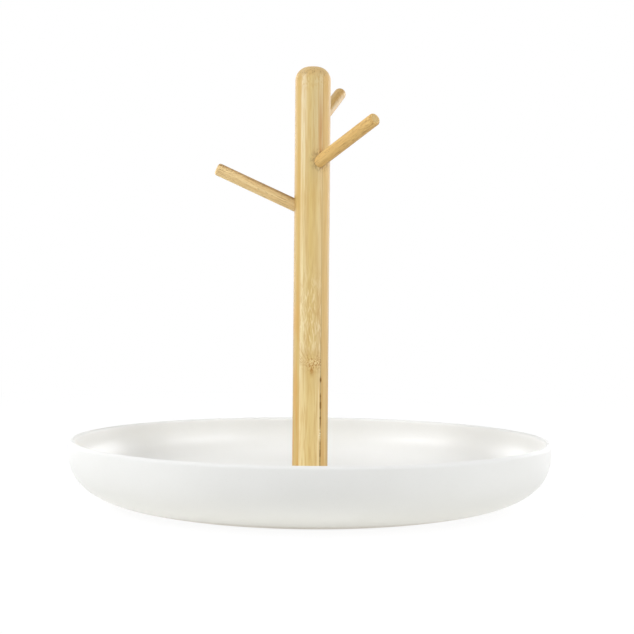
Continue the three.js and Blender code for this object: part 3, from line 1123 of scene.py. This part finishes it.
# %% Nodes for a threaded screw
thread_sizes = {
    "Sides": 32,
    "Thread low": post_foot,
    "Thread high": post_foot + 19.0 * MM,
    "Pitch": 2.2 * MM,
    "Root radius": 1.8 * MM,
    "Thread depth": 0.7 * MM,
    "Fade": 2.2 * MM,
}
bench, given = start_tree("threaded screw", thread_sizes)
shank = turn_outline(bench, given["Outline"], given["Sides"])
here = bench.add("GeometryNodeInputPosition")
x, y, z = bench.parts(here)
climbed = bench.less(z, given["Thread low"])
turns = bench.less(
    bench.ratio(climbed, given["Pitch"]),
    bench.ratio(bench.math("ARCTAN2", y, x), FULL_TURN),
)
sawtooth = bench.less(bench.product(bench.math("FRACT", turns), 2.0), 1.0)
ridge = bench.math("POWER", bench.math("ABSOLUTE", sawtooth), 1.8)
from_ends = bench.math("MINIMUM", climbed, bench.less(given["Thread high"], z))
fade = bench.add("ShaderNodeClamp", {0: bench.ratio(from_ends, given["Fade"])})
raised = bench.product(given["Thread depth"], ridge, fade)
growth = bench.total(1.0, bench.ratio(raised, given["Root radius"]))
crest = bench.vector(bench.product(x, growth), bench.product(y, growth), z)
threaded = bench.add("GeometryNodeSetPosition", {"Geometry": shank, "Position": crest})
screw_tree = close_tree(bench, threaded, given["Finish"])
print("inputs of a screw:", ", ".join(given))

# %% Turn the screw and cut its cross recess
HEAD_RADIUS = 4.7 * MM
HEAD_ROUNDING = 1.1 * MM
NECK_RADIUS = 2.2 * MM
THREAD_STEP = 0.1 * MM
CROSS_REACH = 2.6 * MM
CROSS_HALF_WIDTH = 0.55 * MM
CROSS_DEPTH = 1.2 * MM
CROSS_TAPER = 0.72

head_low = screw_low.z
head_high = washer_low.z
root_radius = thread_sizes["Root radius"]
thread_low = thread_sizes["Thread low"]
thread_high = thread_sizes["Thread high"]
screw_outline = [(0.0, head_low), (1.5 * MM, head_low), (3.0 * MM, head_low)]
screw_outline += low_corner(HEAD_RADIUS, head_low, HEAD_ROUNDING, 8)
screw_outline += [(HEAD_RADIUS, head_high), (NECK_RADIUS, head_high)]
screw_outline += [(NECK_RADIUS, thread_low - 0.7 * MM), (root_radius, thread_low)]
screw_outline += straight(root_radius, thread_low, thread_high, THREAD_STEP)
screw_outline += [(root_radius, thread_high), (0.4 * root_radius, screw_high.z - 0.9 * MM)]
screw_outline += [(0.0, screw_high.z)]
screw_values = {**thread_sizes, "Finish": steel_finish}
screw = grow("post_fixing_screw", screw_tree, screw_outline, screw_values)


def cross_ring(height, scale):
    """The twelve corners of a cross at one height."""
    corners = []
    near = CROSS_HALF_WIDTH * scale
    far = CROSS_REACH * scale
    for arm in range(4):
        quarter = Matrix.Rotation(arm * math.pi / 2, 3, "Z")
        for along, side in ((far, -near), (far, near), (near, near)):
            corners.append(quarter @ Vector((along, side, height)))
    return corners


low_ring = cross_ring(head_low - 0.3 * MM, 1.05)
high_ring = cross_ring(head_low + CROSS_DEPTH, CROSS_TAPER)
corner_count = len(low_ring)
faces = [tuple(reversed(range(corner_count))), tuple(range(corner_count, 2 * corner_count))]
for corner in range(corner_count):
    following = (corner + 1) % corner_count
    faces.append((corner, following, corner_count + following, corner_count + corner))
cross_mesh = bpy.data.meshes.new("cross_cutter")
cross_mesh.from_pydata([*low_ring, *high_ring], [], faces)
cross = add_object("cross_cutter", cross_mesh)
cut_out(screw, [cross])
settle(screw, "screw_steel", "post_screw")

# %% [markdown]
# ## The washer
# The washer spreads the screw's pull over the thin floor of the dish. It is stamped, so its
# edges are slightly rounded by the die.

# %% Turn the washer
WASHER_EDGE = 0.2 * MM
WASHER_HOLE_RADIUS = 2.5 * MM
washer_radius = washer_high.x
washer_outline = [(WASHER_HOLE_RADIUS, washer_low.z)]
washer_outline += low_corner(washer_radius, washer_low.z, WASHER_EDGE, 4)
washer_outline += high_corner(washer_radius, washer_high.z, WASHER_EDGE, 4)
washer_outline += [(WASHER_HOLE_RADIUS, washer_high.z), (WASHER_HOLE_RADIUS, washer_low.z)]
washer = grow("fixing_washer", lathe_tree, washer_outline, {"Sides": 64, "Finish": steel_finish})
settle(washer, "screw_steel", "screw_washer")

# %% [markdown]
# ## The foot pads
# Four soft pads keep the dish from sliding and from scratching the table. They are one shape
# repeated on a circle, which is the plainest use of instances: the points of a circle, and a
# pad on each.

# %% Pad finish
pad_finish, bench, shader = start_finish("soft_silicone", IOR=1.41)
place = bench.add("ShaderNodeTexCoord", output="Object")
dust = noise(bench, place, 700.0, 3.0, 0.6)
use_colour(bench, shader, mix_tones(bench, dust, tone(222, 221, 216), tone(208, 206, 199)))
pad_roughness = bench.total(0.5, bench.product(dust, 0.3))
use_surface(bench, shader, pad_roughness, dust, 0.02 * MM, 0.5)
print("pad finish:", len(bench.tree.nodes), "nodes")

# %% Nodes for pads on a circle
PAD_ROUNDING = 0.4 * MM

pad_sizes = {
    "Sides": 40,
    "Count": PAD_COUNT,
    "Circle radius": PAD_CIRCLE_RADIUS,
    "First angle": PAD_FIRST_ANGLE,
}
bench, given = start_tree("pads on a circle", pad_sizes)
one_pad = turn_outline(bench, given["Outline"], given["Sides"])
circle = bench.add(
    "GeometryNodeMeshCircle", {"Vertices": given["Count"], "Radius": given["Circle radius"]}
)
first_turn = bench.vector(0.0, 0.0, given["First angle"])
first = bench.add("FunctionNodeEulerToRotation", {0: first_turn})
turned_circle = bench.add("GeometryNodeTransform", {"Geometry": circle, "Rotation": first})
copies = bench.add("GeometryNodeInstanceOnPoints", {"Points": turned_circle, "Instance": one_pad})
pad_tree = close_tree(bench, copies, given["Finish"])
print("inputs of the pads:", ", ".join(given))

pad_outline = [(0.0, pad_low.z), (0.5 * pad_radius, pad_low.z)]
pad_outline += low_corner(pad_radius, pad_low.z, PAD_ROUNDING, 6)
pad_outline += [(pad_radius, pad_high.z), (0.0, pad_high.z)]
pads = grow("foot_pads", pad_tree, pad_outline, {**pad_sizes, "Finish": pad_finish})
settle(pads, "pad_soft", "foot_pad_1", "foot_pad_2", "foot_pad_3", "foot_pad_4")

# %% [markdown]
# ## Floor and background
# The stand was photographed on pure white. More light on the object would burn its pale dish
# away, so the white comes from the floor and the world themselves: seen by the camera or in a
# reflection, both glow at a strength of about 1. For the rays that light things, the world is
# almost dark, so the shading of the dish comes from the lamps and isn't washed out.
#
# Close to the stand, part of the floor's shown brightness is still reflected light, which keeps its
# soft shadow. Right under the ring the floor's shown glow is painted dimmer and warmer, a painted
# contact shadow, and seen edge on that is the thin contact line below the dish.

# %% White world
ROOM_FILL = 0.04
TABLE_GLOW = 0.22
WHITE = (1.0, 1.0, 1.0, 1.0)


def seen_directly(bench):
    """1 for camera, mirror and glass rays, and 0 for the rays that light things."""
    path = bench.tree.nodes.new("ShaderNodeLightPath").outputs
    kinds = ("Is Camera Ray", "Is Glossy Ray", "Is Transmission Ray")
    return bench.largest(*[path[kind] for kind in kinds])


world = bpy.data.worlds.new("white_studio")
world.use_nodes = True
bpy.context.scene.world = world
bench = Bench(world.node_tree)
background = world.node_tree.nodes["Background"]
strength = bench.add("ShaderNodeMix", {0: seen_directly(bench), 2: ROOM_FILL, 3: 1.0})
world.node_tree.links.new(strength, background.inputs["Strength"])
background.inputs["Color"].default_value = WHITE
print("world: strength 1 where seen, and", ROOM_FILL, "as light")

# %% [markdown]
# For the rays that light things, the floor is plain pale paint. It glows a little in a ring just
# outside the stand, where a white table top throws the lamps' light back up at the dish's wall.

# %% White floor
FLOOR_DROP = 0.05 * MM
FLOOR_RADIUS = 6.0
FLOOR_CORNERS = 64
UNDER_EDGE = 75.5 * MM
UNDER_END = 80.0 * MM
GLOW_START = 76.0 * MM
GLOW_FULL = 84.0 * MM
GLOW_FADE = 108.0 * MM
GLOW_END = 132.0 * MM
SHADOW_FADE = 0.25
SHADOW_END = 0.7

floor_finish = bpy.data.materials.new("white_floor")
floor_finish.use_nodes = True
bench = Bench(floor_finish.node_tree)
floor_finish.node_tree.nodes.remove(floor_finish.node_tree.nodes["Principled BSDF"])
floor_out = floor_finish.node_tree.nodes["Material Output"]
place = bench.add("ShaderNodeTexCoord", output="Object")
from_middle = bench.add("ShaderNodeVectorMath", {0: place}, output="Value", operation="LENGTH")
outside = bench.span(from_middle, UNDER_EDGE, UNDER_END)
far_away = bench.span(from_middle, SHADOW_FADE, SHADOW_END)
# Painted shadow: under the ring the floor shows a dimmer, warmer glow.
dim_glow = bench.add("ShaderNodeEmission", {"Color": (1.0, 0.95, 0.82, 1), "Strength": 0.38})
dim_paint = bench.add("ShaderNodeBsdfDiffuse", {"Color": (0.50, 0.48, 0.42, 1)})
painted_contact_shadow = bench.add("ShaderNodeAddShader", {0: dim_glow, 1: dim_paint})
near_glow = bench.add("ShaderNodeEmission", {"Color": WHITE, "Strength": 0.94})
near_paint = bench.add("ShaderNodeBsdfDiffuse", {"Color": (0.08, 0.08, 0.08, 1)})
near_look = bench.add("ShaderNodeAddShader", {0: near_glow, 1: near_paint})
close_look = bench.add("ShaderNodeMixShader", {0: outside, 1: painted_contact_shadow, 2: near_look})
far_look = bench.add("ShaderNodeEmission", {"Color": WHITE, "Strength": 1.0})
shown_look = bench.add("ShaderNodeMixShader", {0: far_away, 1: close_look, 2: far_look})
table_paint = bench.add("ShaderNodeBsdfDiffuse", {"Color": (0.82, 0.82, 0.80, 1)})
glow_strength = bench.product(
    bench.span(from_middle, GLOW_START, GLOW_FULL, 0.0, TABLE_GLOW),
    bench.span(from_middle, GLOW_FADE, GLOW_END, 1.0, 0.0),
)
glow_sockets = {"Color": (1.0, 0.98, 0.90, 1), "Strength": glow_strength}
table_glow = bench.add("ShaderNodeEmission", glow_sockets)
lit_look = bench.add("ShaderNodeAddShader", {0: table_paint, 1: table_glow})
looks = {0: seen_directly(bench), 1: lit_look, 2: shown_look}
floor_look = bench.add("ShaderNodeMixShader", looks)
floor_finish.node_tree.links.new(floor_look, floor_out.inputs["Surface"])

floor_mesh = bpy.data.meshes.new("floor")
floor_edge = []
for corner in range(FLOOR_CORNERS):
    angle = FULL_TURN * corner / FLOOR_CORNERS
    floor_edge.append((FLOOR_RADIUS * math.cos(angle), FLOOR_RADIUS * math.sin(angle), -FLOOR_DROP))
floor_mesh.from_pydata(floor_edge, [], [tuple(range(FLOOR_CORNERS))])
floor_mesh.materials.append(floor_finish)
floor = add_object("floor", floor_mesh)
floor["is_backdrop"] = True
print("floor radius", FLOOR_RADIUS, "m")

# %% [markdown]
# ## Lamps
# The photograph's light can be read from the dish. Both ends of its outer wall are bright and the
# middle is a shade darker, so large soft boxes stand left and right, each pair made of a high one
# and a broad low one. Inside, the two ends are light again, with a darker patch before each. That
# asks for low boxes behind the stand on both sides, which shine across the dish at its far walls.
# A weak front box and a high one at the back fill the rest.
#
# Eight lamps sound like many to balance by eye. Each lamp was rendered alone, and the share of
# each that adds up to the photograph's brightness was then solved for. Their light is a trace
# cool, since the pale floor warms what it throws back.

# %% Soft boxes
LAMP_DISTANCE = 1.3
LAMP_TINT = (0.985, 1.0, 1.045)
AIM = Vector((0.0, 0.0, 0.05))


def soft_box(name, turn_degrees, rise_degrees, power, size):
    """A square lamp at this angle round the stand and above it, facing the stand."""
    data = bpy.data.lights.new(name, "AREA")
    data.shape = "SQUARE"
    data.size = size
    data.energy = power
    data.color = LAMP_TINT
    lamp = add_object(name, data)
    turn = math.radians(turn_degrees)
    rise = math.radians(rise_degrees)
    level = Vector((math.sin(turn), -math.cos(turn), 0.0))
    away = level * math.cos(rise) + Vector((0.0, 0.0, math.sin(rise)))
    lamp.location = AIM + LAMP_DISTANCE * away
    lamp.rotation_euler = (-away).to_track_quat("-Z", "Y").to_euler()
    lamp.visible_camera = False
    print(f"{name}: {power} W")


soft_box("left_high_box", -70, 40, 6.9, 0.7)
soft_box("right_high_box", 70, 40, 5.7, 0.7)
soft_box("left_broad_box", -65, 22, 6.0, 1.0)
soft_box("right_broad_box", 65, 22, 5.4, 1.0)
soft_box("front_box", 0, 14, 2.35, 0.7)
soft_box("back_left_box", -140, 14, 5.3, 0.7)
soft_box("back_right_box", 140, 14, 6.2, 0.7)
soft_box("high_back_box", -150, 60, 2.1, 1.0)

# %% [markdown]
# ## Colour and the last checks
# The view transform is Standard, so a tone on the object comes out as it was written. The box of the
# dressed stand is compared with the box of the bare CAD model, and the largest difference between
# them is printed: dressing should not make the stand larger.

# %% Compare the boxes and finish
bpy.context.scene.view_settings.view_transform = "Standard"

dressed_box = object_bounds()
growth_mm = max(
    max(abs(a - b) for a, b in zip(cad_corner, dressed_corner))
    for cad_corner, dressed_corner in zip(cad_box, dressed_box)
) / MM
print(f"largest difference between the boxes: {growth_mm:.3f} mm")
